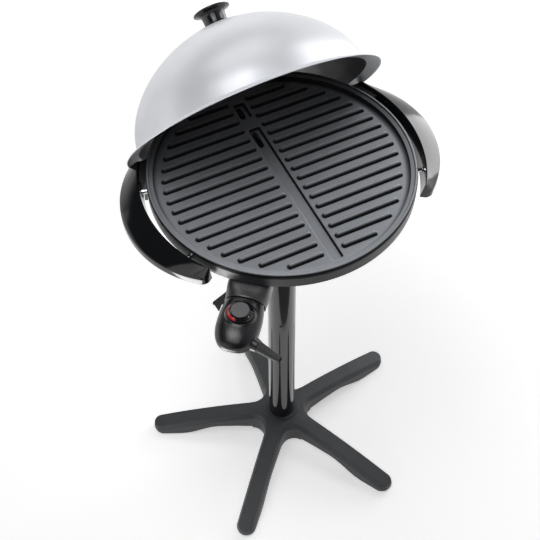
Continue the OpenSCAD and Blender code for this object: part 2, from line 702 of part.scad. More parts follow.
// The body's outer form: two arched sections blended into a round end, and a neck for the lead
module body_form(inset) {
    hull() {
        along_probe(probe_face + inset, probe_face + 6) translate([0, -body_drop / 2]) full_arch(inset + body_bulge);
        along_probe(dial_at[0] - 7, dial_at[0] + 7) translate([0, -body_drop]) full_arch(inset - body_bulge);
        for (a = [-80 : 40 : 80])
            translate([body_end - tip_r - tip_spread * (1 - cos(a)), tip_spread * sin(a), -probe_split - 3])
                sphere(r = tip_r - inset, $fn = 28);
        translate([body_end - 28, 0, -probe_split - 2]) sphere(r = tip_r + 4 - inset, $fn = 28);
    }
    hull() {
        translate([281, 17, -guard_depth]) sphere(r = 14 - inset, $fn = 28);
        guard_axis() translate([0, 0, -1 - inset]) cylinder(h = 1, r = neck_r - inset, $fn = 32);
    }
}

module full_arch(inset) union() {
    arch(inset, probe_split + 14);
    translate([-probe_half_w + 6 + inset, -probe_split - 20 + inset]) square([2 * (probe_half_w - 6 - inset), 20]);
}

module guard_axis() translate([guard_start[0], guard_start[1], -guard_depth]) rotate([0, 90, guard_az]) children();

module thermostat_top() color([0.17, 0.175, 0.185]) at_probe() difference() {
    union() {
        intersection() {
            body_form(0);
            translate([200, -80, -probe_split]) cube([140, 160, 60]);
        }
        translate([dial_at[0], dial_at[1], -40]) cylinder(h = 40 - dial_seat, r = dial_d / 2 + 2.5);
    }
    intersection() {
        body_form(2.4);
        translate([200, -80, -probe_split - 1]) cube([140, 160, 60]);
    }
    translate([dial_at[0], dial_at[1], -probe_split]) cylinder(h = probe_split, r = spindle_r + running);
    translate([lens_x, 0, -probe_split]) cylinder(h = probe_split, r = lens_r + running);
    guard_axis() translate([0, 0, -8]) cylinder(h = 20, r = lead_r + 0.4);
    translate([0, 0, -probe_axis]) bar(probe_face - 5, probe_face + 8, probe_r + 0.05);
    along_probe(probe_face - 5, probe_face + 5) nose_section(-0.2);
}

module thermostat_bottom() color([0.17, 0.175, 0.185]) at_probe() difference() {
    intersection() {
        body_form(0);
        translate([200, -80, -probe_split - 60]) cube([140, 160, 60]);
    }
    intersection() {
        body_form(2.4);
        translate([200, -80, -probe_split - 60]) cube([140, 160, 61]);
    }
    guard_axis() translate([0, 0, -8]) cylinder(h = 20, r = lead_r + 0.4);
    along_probe(probe_face - 5, probe_face + 5) nose_section(-0.2);
}

// Section of the plug that slides under the hood
module nose_section(inset) intersection() {
    arch(4.2 + inset, probe_split + 15 - inset);
    translate([-24 + inset, -probe_split - 15 + inset]) square([48 - 2 * inset, 40]);
}

module plug_nose() color([0.12, 0.12, 0.13]) at_probe() difference() {
    along_probe(nose_start, probe_face + 5) nose_section(0);
    for (y = [-pin_offset, pin_offset]) translate([0, y, -probe_axis]) bar(nose_start - 1, 226, pin_r + 1.2);
    translate([0, 0, -probe_axis]) bar(nose_start - 1, probe_face + 6, probe_r);
}

module socket_contacts() color("gold") at_probe() for (y = [-pin_offset, pin_offset])
    translate([0, y, -probe_axis]) difference() {
        bar(206, 226, pin_r + 1.2);
        bar(205, 224.5, pin_r + running);
    }

module heat_probe() color([0.8, 0.8, 0.82]) at_probe() translate([0, 0, -probe_axis]) {
    bar(108, probe_face + 6, probe_r);
    translate([108, 0, 0]) sphere(r = probe_r);
}

module cord_guard() color([0.13, 0.13, 0.14]) at_probe() guard_axis() difference() {
    union() {
        translate([0, 0, -5]) cylinder(h = 5 + eps, r = lead_r + 0.4);
        cylinder(h = guard_len, r1 = neck_r - 0.5, r2 = 5.5);
    }
    translate([0, 0, -6]) cylinder(h = guard_len + 8, r = lead_r - 0.6);
    translate([0, 0, 4]) cylinder(h = guard_len, r = lead_r);
}

module indicator_lens() color([0.35, 0.05, 0.04]) at_probe() translate([lens_x, 0, -probe_split + 4]) {
    cylinder(h = probe_split - 35.2, r = lens_r);
    cylinder(h = 3, r = lens_r + 1);
}

module dial_knob() color([0.06, 0.06, 0.065]) at_probe() translate([dial_at[0], dial_at[1], -dial_seat + seat_gap]) difference() {
    rotate_extrude() polygon([[0, 0], [dial_d / 2, 0], [dial_d / 2, 4.6], [dial_d / 2 - 0.6, 5.6],
        [dial_d / 2 - 4.2, dial_h - 0.6], [dial_d / 2 - 4.9, dial_h], [0, dial_h]]);
    translate([0, 0, -1]) cylinder(h = 9, r = spindle_r + running);
    rotate([0, 0, 62]) translate([dial_d / 2 - 5.5, -2.5, dial_h - 4.4]) cube([8, 5, 8]);
}

module dial_spindle() color("silver") at_probe() translate([dial_at[0], dial_at[1], 0]) {
    translate([0, 0, -probe_split + 2]) cylinder(h = probe_split - 2 - dial_seat + seat_gap + 8, r = spindle_r);
    translate([0, 0, -probe_split + 2]) cylinder(h = 4, r = spindle_r + 2);
}

star_base();
foot_pads();
base_bolt();
column_plug();
column_lower();
column_upper();
joiner_sleeve();
lock_button();
button_clip();
column_screws();
base_housing();
reflector();
reflector_screws();
element_clips();
heating_element();
terminal_block();
terminal_pins();
probe_hood();
hood_fin();
tray_runners();
drip_tray();
grill_plate();
lid_rest_left();
lid_rest_right();
handle_left();
handle_right();
handle_posts();
handle_screws();
lid_shell();
knob_washer();
lid_knob();
knob_screw();
thermostat_top();
thermostat_bottom();
plug_nose();
socket_contacts();
heat_probe();
cord_guard();
indicator_lens();
dial_knob();
dial_spindle();
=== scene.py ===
"""Looks of the pedestal grill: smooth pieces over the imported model, materials, light and camera."""
import math

import bmesh
import bpy
import numpy as np
from mathutils import Matrix, Vector


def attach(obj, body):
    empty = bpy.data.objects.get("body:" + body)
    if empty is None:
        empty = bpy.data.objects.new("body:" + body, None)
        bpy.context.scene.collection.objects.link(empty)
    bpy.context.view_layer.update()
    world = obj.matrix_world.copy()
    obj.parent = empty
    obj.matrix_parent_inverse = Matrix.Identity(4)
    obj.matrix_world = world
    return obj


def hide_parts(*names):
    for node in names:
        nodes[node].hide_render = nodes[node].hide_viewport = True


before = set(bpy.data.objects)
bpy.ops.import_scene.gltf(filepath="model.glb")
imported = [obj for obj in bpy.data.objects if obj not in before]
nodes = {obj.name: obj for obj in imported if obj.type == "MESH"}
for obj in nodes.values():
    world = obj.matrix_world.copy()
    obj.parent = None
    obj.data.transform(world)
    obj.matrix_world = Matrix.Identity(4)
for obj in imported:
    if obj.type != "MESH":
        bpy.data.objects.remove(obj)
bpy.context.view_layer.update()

MM = 0.001

# Sizes in millimetres and angles in degrees. RIM is the height of the plate's rim over the floor, and
# heights and depths below it count from there. BACK is how far the column's axis stands behind the middle.
RIM = 793.0
BACK = 9.9
PLATE_R = 210.0
PLATE_FIELD = 190.0
PLATE_GRID = 189.0
PLATE_LOW = -16.5
FLOOR = -11.0
RIB_R = 5.0
RIB_PITCH = 21.0
RIB_ROWS = 17
RIB_INNER = 15.0
RIB_REACH = 186.0
RIB_SHIFT = -2.5
GROOVE_HALF = 9.3
GROOVE_DEPTH = 4.4
GROOVE_FRONT = -188.0
GROOVE_BACK = 160.0
BRIDGE = (101.0, 126.0)
SLOTS = ((62.0, 98.0), (129.0, 156.0))
SLOT_X = -3.0
SLOT_W = 9.0
SLOT_CUT = (-26.0, 4.0)
LID_R = 214.0
LID_H = 155.0
LID_WALL = 1.8
DOME_R = 192.3
DOME_POWER = 1.836
FLARE_H = 8.0
FLARE_RUN = 19.4
FLARE_RISE = 7.2
FLARE_BEADS = 4
FLARE_BEAD_H = 0.9
LID_TILT = 59.9
LID_BACK = 95.0
LID_UP = 24.1
PROBE_AZ = 230.3
PROBE_FACE = 231.6
PROBE_LEN = 82.0
PROBE_SPLIT = 50.0
BODY_MOUTH = 29.6
BODY_SWELL = 3.3
BODY_HALF = 32.9
BODY_RISE = 20.6
BODY_FALL = 21.0
BODY_CELL = 0.8
BODY_ROUNDS = 7
HOOD_HALF_W = 31.3
HOOD_TOP = 28.5
HOOD_LOW = 58.0
DIAL_X = 260.3
DIAL_Y = 1.2
DIAL_SEAT = 29.1
DIAL_D = 38.5
DIAL_EDGE = 4.2
DIAL_TOP = 8.6
DIAL_SLOPE = (0.768, 0.64)
COLLAR_MARGIN = 2.5
GUARD_START = (295.0, 37.0, -54.0)
GUARD_AZ = 67.5
NECK_R = 8.9
SKIRT_BOTTOM = 26.6
HANDLE_IN = 222.0
HANDLE_OUT = 165.0
HANDLE_OUT_X = 93.0
HANDLE_DROP = 18.0
HANDLE_BAND = 12.4
HANDLE_FRONT = -35.5
HANDLE_REAR = 31.0
TIP_TURN = 1.7
KNOB_D = 61.0
KNOB_H = 30.0

# Painted light and shade on the plate: its colour and gloss are lightest where it faces LIT_FROM and darken
# on slopes turned away; a higher power darkens the slopes faster
LIT_FROM = (0.30, 0.50, 0.81)
PAINTED_SHADE_POWER = 2.6

AT_RIM = Matrix.Translation(Vector((0, BACK, RIM)))
AT_PROBE = AT_RIM @ Matrix.Rotation(math.radians(PROBE_AZ), 4, "Z")
AT_LID = AT_RIM @ Matrix.Translation(Vector((0, LID_BACK, LID_UP))) @ Matrix.Rotation(
    math.radians(-LID_TILT), 4, "X")
AT_DIAL = AT_PROBE @ Matrix.Translation(Vector((DIAL_X, DIAL_Y, -DIAL_SEAT)))


# Materials

def math_node(tree, operation, *values):
    """Output of a math node; each value is a number or another node's output."""
    node = tree.nodes.new("ShaderNodeMath")
    node.operation = operation
    for socket, value in zip(node.inputs, values):
        if isinstance(value, (int, float)):
            socket.default_value = value
        else:
            tree.links.new(value, socket)
    return node.outputs["Value"]


def noise(tree, coords, scale, detail=3.0, stretch=(1, 1, 1)):
    """Noise over the object's own coordinates; scale is in cells per metre."""
    mapping = tree.nodes.new("ShaderNodeMapping")
    mapping.inputs["Scale"].default_value = stretch
    tree.links.new(coords.outputs["Object"], mapping.inputs["Vector"])
    pattern = tree.nodes.new("ShaderNodeTexNoise")
    pattern.inputs["Scale"].default_value = scale
    pattern.inputs["Detail"].default_value = detail
    tree.links.new(mapping.outputs["Vector"], pattern.inputs["Vector"])
    return pattern


def spread(tree, source, low, high):
    """Maps a noise's middle range to low..high."""
    ramp = tree.nodes.new("ShaderNodeMapRange")
    ramp.inputs["From Min"].default_value = 0.3
    ramp.inputs["From Max"].default_value = 0.7
    ramp.inputs["To Min"].default_value = low
    ramp.inputs["To Max"].default_value = high
    tree.links.new(source.outputs["Fac"], ramp.inputs["Value"])
    return ramp


def slope_tone(tree, colour, specular, low):
    """Painted light and shade: brightens colour and gloss on slopes that face LIT_FROM and darkens the
    others, down to the share low.
    """
    geometry = tree.nodes.new("ShaderNodeNewGeometry")
    turned = tree.nodes.new("ShaderNodeVectorMath")
    turned.operation = "DOT_PRODUCT"
    turned.inputs[1].default_value = LIT_FROM
    tree.links.new(geometry.outputs["Normal"], turned.inputs[0])
    facing = math_node(tree, "MAXIMUM", turned.outputs["Value"], 0.0)
    level = math_node(tree, "DIVIDE", facing, LIT_FROM[2])
    share = math_node(tree, "MAXIMUM", math_node(tree, "POWER", level, PAINTED_SHADE_POWER), low)
    scaled = tree.nodes.new("ShaderNodeVectorMath")
    scaled.operation = "SCALE"
    tree.links.new(colour.outputs["Vector"], scaled.inputs[0])
    tree.links.new(share, scaled.inputs["Scale"])
    return scaled, math_node(tree, "MULTIPLY", share, specular)


def surface(name, colour, rough, metal=0.0, tone=0.05, tone_scale=18.0, rough_vary=0.04,
            grain=0.0, grain_scale=1500.0, stretch=(1, 1, 1), coat=0.0, coat_rough=0.06,
            speck=0.0, rounding=0.0, specular=0.5, painted_shade_share=1.0, glow=0.0):
    """A procedural material: tone and roughness drift slowly, grain is a fine bump.

    Rounding softens edges by that many metres, flanks is the share of tone left as painted shade on slopes
    turned away from LIT_FROM, and glow is light that the surface gives off.
    """
    mat = bpy.data.materials.new(name)
    mat.use_nodes = True
    tree = mat.node_tree
    shader = tree.nodes["Principled BSDF"]
    coords = tree.nodes.new("ShaderNodeTexCoord")

    drift = spread(tree, noise(tree, coords, tone_scale, 4.0, stretch), 1.0 - tone, 1.0 + tone)
    mix = tree.nodes.new("ShaderNodeVectorMath")
    mix.operation = "SCALE"
    mix.inputs[0].default_value = colour
    tree.links.new(drift.outputs["Result"], mix.inputs["Scale"])
    if speck:
        dots = spread(tree, noise(tree, coords, grain_scale * 0.7, 1.0), 1.0 - speck, 1.0 + speck)
        dotted = tree.nodes.new("ShaderNodeVectorMath")
        dotted.operation = "SCALE"
        tree.links.new(mix.outputs["Vector"], dotted.inputs[0])
        tree.links.new(dots.outputs["Result"], dotted.inputs["Scale"])
        mix = dotted
    # Painted light and shade: colour and gloss follow how far each slope turns towards LIT_FROM
    if painted_shade_share < 1.0:
        mix, gloss = slope_tone(tree, mix, specular, painted_shade_share)
        tree.links.new(gloss, shader.inputs["Specular IOR Level"])
    tree.links.new(mix.outputs["Vector"], shader.inputs["Base Color"])

    shine = spread(tree, noise(tree, coords, tone_scale * 2.3, 5.0, stretch),
                   max(0.02, rough - rough_vary), min(1.0, rough + rough_vary))
    tree.links.new(shine.outputs["Result"], shader.inputs["Roughness"])

    shader.inputs["Metallic"].default_value = metal
    shader.inputs["Specular IOR Level"].default_value = specular
    shader.inputs["Coat Weight"].default_value = coat
    shader.inputs["Coat Roughness"].default_value = coat_rough
    shader.inputs["Emission Strength"].default_value = glow

    normal = None
    if rounding:
        normal = tree.nodes.new("ShaderNodeBevel")
        normal.samples = 6
        normal.inputs["Radius"].default_value = rounding
    if grain:
        bump = tree.nodes.new("ShaderNodeBump")
        bump.inputs["Strength"].default_value = grain
        bump.inputs["Distance"].default_value = 0.0003
        grains = noise(tree, coords, grain_scale, 3.0, stretch)
        tree.links.new(grains.outputs["Fac"], bump.inputs["Height"])
        if normal:
            tree.links.new(normal.outputs["Normal"], bump.inputs["Normal"])
        normal = bump
    if normal:
        tree.links.new(normal.outputs["Normal"], shader.inputs["Normal"])
    return mat


MATS = {
    # The plate's coat carries painted shade on slopes turned from LIT_FROM and a painted highlight on
    # slopes facing it
    "plate": surface("plate_coat", (0.300, 0.313, 0.336), 0.42, metal=0.35, grain=0.35, grain_scale=2600,
                     speck=0.10, tone=0.04, specular=0.3, painted_shade_share=0.05),
    "housing": surface("housing_satin", (0.034, 0.035, 0.039), 0.34, grain=0.25, grain_scale=2200,
                       rounding=0.0008),
    "gloss": surface("gloss_black", (0.007, 0.0075, 0.009), 0.12, rough_vary=0.02, grain=0.03,
                     grain_scale=600, specular=0.6),
    "control": surface("control_satin", (0.011, 0.0115, 0.0135), 0.26, rough_vary=0.012, grain=0.15,
                       grain_scale=2400, rounding=0.0008),
    "dial_face": surface("dial_face", (0.115, 0.115, 0.120), 0.42, grain=0.1, grain_scale=2400),
    "hood": surface("hood_satin", (0.022, 0.023, 0.026), 0.34, grain=0.15, grain_scale=2400, specular=1.0),
    "dark": surface("dark_moulding", (0.022, 0.022, 0.024), 0.42, grain=0.4, grain_scale=1800,
                    rounding=0.0006),
    "slate": surface("slate_coat", (0.045, 0.048, 0.054), 0.48, grain=0.9, grain_scale=1500,
                     tone=0.08, tone_scale=9.0, speck=0.12, rounding=0.0012),
    "enamel": surface("column_enamel", (0.012, 0.0125, 0.015), 0.10, rough_vary=0.02, grain=0.03,
                      grain_scale=260, coat=0.4, coat_rough=0.03, specular=0.5),
    "chrome": surface("polished_chrome", (0.82, 0.83, 0.85), 0.08, metal=1.0, tone=0.02,
                      rough_vary=0.03),
    "steel": surface("plain_steel", (0.52, 0.53, 0.55), 0.34, metal=1.0, grain=0.3,
                     grain_scale=900, stretch=(1, 1, 8), rounding=0.0004),
    "zinc": surface("zinc_plate", (0.60, 0.61, 0.62), 0.36, metal=1.0, tone=0.10, tone_scale=120,
                    rounding=0.0003),
    "aluminium": surface("sheet_aluminium", (0.72, 0.73, 0.75), 0.30, metal=1.0, grain=0.25,
                         grain_scale=500, stretch=(1, 12, 1), rounding=0.0004),
    "sheath": surface("element_sheath", (0.17, 0.155, 0.14), 0.45, metal=0.8, tone=0.25,
                      tone_scale=30, grain=0.3, grain_scale=1400),
    "ceramic": surface("ceramic", (0.72, 0.68, 0.60), 0.6, grain=0.5, grain_scale=1200,
                       rounding=0.0005),
    "brass": surface("contact_brass", (0.68, 0.50, 0.22), 0.30, metal=1.0, tone=0.12,
                     tone_scale=90),
    "rubber": surface("black_rubber", (0.020, 0.020, 0.021), 0.62, grain=0.5, grain_scale=1600,
                      rounding=0.0006),
    "lens": surface("red_lens", (0.05, 0.006, 0.005), 0.12, tone=0.03, coat=0.5),
    # A dark card seen only in shiny pieces, for painted dark reflections
    "card": surface("painted_dark_reflection", (0.004, 0.004, 0.004), 0.9, specular=0.0, glow=0.15),
    # A glowing card seen only in shiny pieces, for a painted highlight; it is no lamp
    "painted_bright_reflection": surface("painted_bright_reflection", (0.0, 0.0, 0.0), 0.9, specular=0.0, glow=9.0),
    "red_print": surface("red_print", (0.55, 0.012, 0.012), 0.35, tone=0.04, tone_scale=300),
    "white_print": surface("white_print", (0.75, 0.75, 0.74), 0.4, tone=0.03, tone_scale=300),
    "silver": surface("lid_silver", (0.70, 0.715, 0.75), 0.38, metal=0.25, grain=0.10,
                      grain_scale=2200, tone=0.015, coat=0.15, coat_rough=0.2),
    "lid_inside": surface("lid_inside", (0.075, 0.072, 0.074), 0.38, metal=0.2, grain=0.2,
                          grain_scale=1800),
}

LOOK = {
    "star_base": "slate", "foot_pads": "rubber", "base_bolt": "zinc", "column_plug": "dark",
    "column_lower": "enamel", "column_upper": "enamel", "joiner_sleeve": "steel",
    "lock_button": "dark", "button_clip": "steel", "column_screws": "zinc",
    "base_housing": "housing", "reflector": "aluminium", "reflector_screws": "zinc",
    "element_clips": "steel", "heating_element": "sheath", "terminal_block": "ceramic",
    "terminal_pins": "brass", "probe_hood": "housing", "hood_fin": "dark",
    "tray_runners": "dark", "drip_tray": "aluminium", "grill_plate": "plate",
    "lid_rest_left": "dark", "lid_rest_right": "dark", "handle_left": "gloss",
    "handle_right": "gloss", "handle_posts": "chrome", "handle_screws": "zinc",
    "lid_shell": "silver", "knob_washer": "rubber", "lid_knob": "gloss", "knob_screw": "zinc",
    "thermostat_top": "control", "thermostat_bottom": "control", "plug_nose": "dark",
    "socket_contacts": "brass", "heat_probe": "steel", "cord_guard": "rubber",
    "indicator_lens": "lens", "dial_knob": "gloss", "dial_spindle": "steel",
}
for node_name, node_look in LOOK.items():
    slots = nodes[node_name].data.materials
    if len(slots) == 0:
        slots.append(MATS[node_look])
    for slot_index in range(len(slots)):
        slots[slot_index] = MATS[node_look]


# Mesh helpers

def add_object(name, data):
    """Puts a new object with this data in the scene."""
    obj = bpy.data.objects.new(name, data)
    bpy.context.scene.collection.objects.link(obj)
    return obj


def final_mesh(obj):
    """The object's mesh with its modifiers applied."""
    bpy.context.view_layer.update()
    graph = bpy.context.evaluated_depsgraph_get()
    return bpy.data.meshes.new_from_object(obj.evaluated_get(graph))


def smooth(obj, angle=35.0):
    """Shades the mesh smooth and keeps edges sharper than angle."""
    mesh = obj.data
    bm = bmesh.new()
    bm.from_mesh(mesh)
    limit = math.radians(angle)
    for face in bm.faces:
        face.smooth = True
    for edge in bm.edges:
        edge.smooth = len(edge.link_faces) != 2 or edge.calc_face_angle(0.0) < limit
    bm.to_mesh(mesh)
    bm.free()


def piece(name, verts, faces, place, body, looks, replaced=(), indices=None, angle=35.0):
    """Makes a piece from vertices in millimetres, in the frame that place describes."""
    matrix = Matrix.Scale(MM, 4) @ place
    mesh = bpy.data.meshes.new(name)
    mesh.from_pydata([tuple(matrix @ Vector(v)) for v in verts], [], faces)
    mesh.validate()
    for look in looks:
        mesh.materials.append(MATS[look])
    if indices is not None:
        mesh.polygons.foreach_set("material_index", indices)
    obj = add_object(name, mesh)
    bm = bmesh.new()
    bm.from_mesh(mesh)
    bmesh.ops.recalc_face_normals(bm, faces=bm.faces)
    bm.to_mesh(mesh)
    bm.free()
    smooth(obj, angle)
    if replaced:
        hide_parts(*replaced)
    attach(obj, body)
    return obj


def finish(bm, name, place, body, looks, replaced, angle):
    """Turns a bmesh in millimetres into a piece in place of the nodes it stands for."""
    mesh = bpy.data.meshes.new(name)
    bm.to_mesh(mesh)
    bm.free()
    mesh.transform(Matrix.Scale(MM, 4) @ place)
    for look in looks:
        mesh.materials.append(MATS[look])
    obj = add_object(name, mesh)
    smooth(obj, angle)
    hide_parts(*replaced)
    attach(obj, body)
    return obj


def lathe(profile, segments=192):
    """Turns a closed profile of (radius, height) about Z. Points on the axis become one vertex."""
    verts, faces, rings = [], [], []
    for r, z in profile:
        if r < 1e-6:
            rings.append([len(verts)] * segments)
            verts.append((0.0, 0.0, z))
        else:
            start = len(verts)
            rings.append(list(range(start, start + segments)))
            for k in range(segments):
                a = 2 * math.pi * k / segments
                verts.append((r * math.cos(a), r * math.sin(a), z))
    owner = []
    for i in range(len(profile)):
        here, there = rings[i], rings[(i + 1) % len(profile)]
        if here[0] == here[1] and there[0] == there[1]:
            continue
        for k in range(segments):
            m = (k + 1) % segments
            quad = [here[k], here[m], there[m], there[k]]
            face = list(dict.fromkeys(quad))
            if len(face) > 2:
                faces.append(face)
                owner.append(i)
    return verts, faces, owner


def arc(cx, cy, r, a0, a1, n):
    """Points on a circle about (cx, cy), from angle a0 to a1 in n steps."""
    return [(cx + r * math.cos(math.radians(a0 + (a1 - a0) * i / n)),
             cy + r * math.sin(math.radians(a0 + (a1 - a0) * i / n))) for i in range(n + 1)]


# Lid

def dome(radius, height, t):
    """Point of the dome's profile; t runs from 0 at its foot to 90 at its top."""
    power = 2 / DOME_POWER
    return (radius * math.cos(math.radians(t)) ** power,
            FLARE_H + (height - FLARE_H) * math.sin(math.radians(t)) ** power)


def lid_shell():
    """The lid: a beaded flare round a dome, silver outside and dark inside."""
    steps = 40
    flare = [(LID_R - 0.5, 0.2), (LID_R, 0.7), (LID_R, 1.2)]
    samples = 8 * FLARE_BEADS
    for i in range(samples + 1):
        t = i / samples
        lift = FLARE_BEAD_H * abs(math.sin(math.pi * FLARE_BEADS * t))
        flare.append((LID_R - 0.4 - FLARE_RUN * t + 0.35 * lift, 1.5 + FLARE_RISE * t + 0.94 * lift))
    outside = flare + [dome(DOME_R, LID_H, 3 + 87 * i / steps) for i in range(1, steps)]
    outside.append((0.0, LID_H))
    w = LID_WALL
    inside = [(0.0, LID_H - w)]
    inside += [dome(DOME_R - w, LID_H - w, 90 - 87 * i / steps) for i in range(1, steps)]
    dome_end = len(outside) + len(inside)
    inside += [(DOME_R + 1.0 - w, 7.2), (LID_R - 18.4, 6.4), (LID_R - 15.4, 5.4), (LID_R - 10.2, 3.6),
               (LID_R - 4.4, 1.5), (LID_R - 1.6, 0.2)]
    verts, faces, owner = lathe(outside + inside, 256)
    dark_from = len(outside) - 1
    indices = [1 if dark_from <= i < dome_end else 0 for i in owner]
    piece("lid_dome", verts, faces, AT_LID, "lid", ["silver", "lid_inside"], ["lid_shell"], indices, 30)


# Grill plate

def smooth_max(a, b, k):
    """The larger of two heights, with the corner between them blended over about k."""
    h = np.clip(0.5 + 0.5 * (a - b) / k, 0.0, 1.0)
    return b * (1 - h) + a * h + k * h * (1 - h)


def plate_height(x, y):
    """Height of the cooking surface over its floor: ribs stand up, the groove is sunk."""
    k = np.round((y - RIB_SHIFT) / RIB_PITCH)
    k = np.clip(k, -(RIB_ROWS // 2), RIB_ROWS // 2)
    row = k * RIB_PITCH + RIB_SHIFT
    reach = np.sqrt(RIB_REACH ** 2 - row ** 2)
    along = np.clip(np.abs(x), RIB_INNER + RIB_R, reach - RIB_R)
    d = np.hypot(np.abs(x) - along, y - row)
    crest = np.sqrt(np.maximum(RIB_R ** 2 - d ** 2, 0.0)) - np.maximum(d - RIB_R, 0.0) * 4
    height = smooth_max(crest, np.zeros_like(x), 1.1)

    def sunk(y0, y1):
        """Share of the groove's depth, 0 to 1, for the stretch from y0 to y1 with rounded corners."""
        r = 3.0
        qx = np.abs(x) - (GROOVE_HALF - r)
        qy = np.abs(y - (y0 + y1) / 2) - ((y1 - y0) / 2 - r)
        outside = np.hypot(np.maximum(qx, 0), np.maximum(qy, 0)) + np.minimum(np.maximum(qx, qy), 0) - r
        t = np.clip((0.5 - outside) / 2.4, 0.0, 1.0)
        return t * t * (3 - 2 * t)

    depth = np.maximum(sunk(GROOVE_FRONT, BRIDGE[0]), sunk(BRIDGE[1], GROOVE_BACK))
    return height - depth * GROOVE_DEPTH


def plate_lines():
    """Grid lines that follow the ribs and the groove closely."""
    near = [0, 1.0, 2.0, 2.9, 3.6, 4.1, 4.5, 4.8, 5.2, 5.8, 6.8, 8.4]
    ys = set()
    for k in range(-(RIB_ROWS // 2), RIB_ROWS // 2 + 1):
        for d in near:
            ys.add(round(k * RIB_PITCH + RIB_SHIFT + d, 3))
            ys.add(round(k * RIB_PITCH + RIB_SHIFT - d, 3))
    ys |= {-189.0, -188.3, -187.6, -186.9, -186.0, -185.0, 183.0, 186.0, 189.0}
    for edge in BRIDGE:
        ys |= {edge + d for d in (-1.6, -0.8, 0.0, 0.8, 1.6)}
    xs = {0.0}
    for d in (2.5, 5.0, 6.8, 7.4, 8.0, 8.6, 9.2, 9.8, 10.6, 12.5):
        xs |= {d, -d}
    x = 14.0
    while x < PLATE_FIELD:
        xs |= {round(x, 3), round(-x, 3)}
        x += 0.8 if x < 27 else 1.6
    clean = []
    for y in sorted(v for v in ys if abs(v) < PLATE_FIELD):
        if not clean or y - clean[-1] > 0.25:
            clean.append(y)
    return np.array(sorted(xs)), np.array(clean)


def grill_plate():
    """The plate: a ribbed field inside a turned rim, filled in between, with its slots cut."""
    xs, ys = plate_lines()
    gx, gy = np.meshgrid(xs, ys, indexing="ij")
    gz = FLOOR + plate_height(gx, gy)
    inside = np.hypot(gx, gy) < PLATE_GRID
    bm = bmesh.new()
    grid = {}
    for i, j in zip(*np.nonzero(inside)):
        grid[i, j] = bm.verts.new((gx[i, j], gy[i, j], gz[i, j]))
    for (i, j), v in grid.items():
        quad = [(i, j), (i + 1, j), (i + 1, j + 1), (i, j + 1)]
        if all(q in grid for q in quad):
            bm.faces.new([grid[q] for q in quad])
    loose = [v for v in bm.verts if not v.link_faces]
    bmesh.ops.delete(bm, geom=loose, context="VERTS")
    border = [e for e in bm.edges if len(e.link_faces) == 1]

    segments = 256
    profile = [(PLATE_FIELD, FLOOR)] + arc(PLATE_R - 20, FLOOR + 9.3, 9.3, -90, -12, 10)[1:]
    profile += [(PLATE_R - 5.2, -1.9)] + arc(PLATE_R - 2.75, -2.75, 2.75, 140, 0, 12)
    profile += [(PLATE_R, -6.6), (PLATE_R - 0.4, -7.0), (PLATE_R - 6.5, -7.0), (PLATE_R - 6.5, -9.0),
                (PLATE_R - 14.5, PLATE_LOW), (12.0, PLATE_LOW)]
    turns = [2 * math.pi * k / segments for k in range(segments)]
    rings = [[bm.verts.new((r * math.cos(a), r * math.sin(a), z)) for a in turns] for r, z in profile]
    for a, b in zip(rings, rings[1:]):
        for k in range(segments):
            m = (k + 1) % segments
            bm.faces.new((a[k], a[m], b[m], b[k]))
    bm.faces.new(rings[-1])
    first_ring = set(rings[0])
    circle = [e for v in rings[0] for e in v.link_edges if e.other_vert(v) in first_ring]
    bmesh.ops.triangle_fill(bm, use_beauty=True, edges=list(set(circle)) + border)
    bmesh.ops.recalc_face_normals(bm, faces=bm.faces)

    mesh = bpy.data.meshes.new("plate_casting")
    bm.to_mesh(mesh)
    bm.free()
    mesh.transform(Matrix.Scale(MM, 4) @ AT_RIM)
    mesh.materials.append(MATS["plate"])
    obj = add_object("plate_casting", mesh)
    cut_slots(obj)
    smooth(obj, 50)
    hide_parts("grill_plate")
    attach(obj, "plate")


def cut_slots(obj):
    """Cuts the two drain slots right through the plate."""
    bm = bmesh.new()
    for y0, y1 in SLOTS:
        ends = arc(SLOT_X, y1 - SLOT_W / 2, SLOT_W / 2, 0, 180, 12) + arc(
            SLOT_X, y0 + SLOT_W / 2, SLOT_W / 2, 180, 360, 12)
        low, high = [[bm.verts.new((x, y, z)) for x, y in ends] for z in SLOT_CUT]
        bm.faces.new(low[::-1])
        bm.faces.new(high)
        for k in range(len(ends)):
            m = (k + 1) % len(ends)
            bm.faces.new((low[k], low[m], high[m], high[k]))
    mesh = bpy.data.meshes.new("slot_cutter")
    bm.to_mesh(mesh)
    bm.free()
    mesh.transform(Matrix.Scale(MM, 4) @ AT_RIM)
    cutter = add_object("slot_cutter", mesh)
    modifier = obj.modifiers.new("slots", "BOOLEAN")
    modifier.operation = "DIFFERENCE"
    modifier.solver = "EXACT"
    modifier.object = cutter
    done = final_mesh(obj)
    obj.modifiers.clear()
    obj.data = done
    bpy.data.objects.remove(cutter)


# Handles

def handle_edge(a):
    """Radius of the handle's outline in direction a, in degrees."""
    c, t = math.cos(math.radians(a)), math.sin(math.radians(a))
    return HANDLE_OUT_X * c + math.sqrt(HANDLE_OUT ** 2 - (HANDLE_OUT_X * t) ** 2)


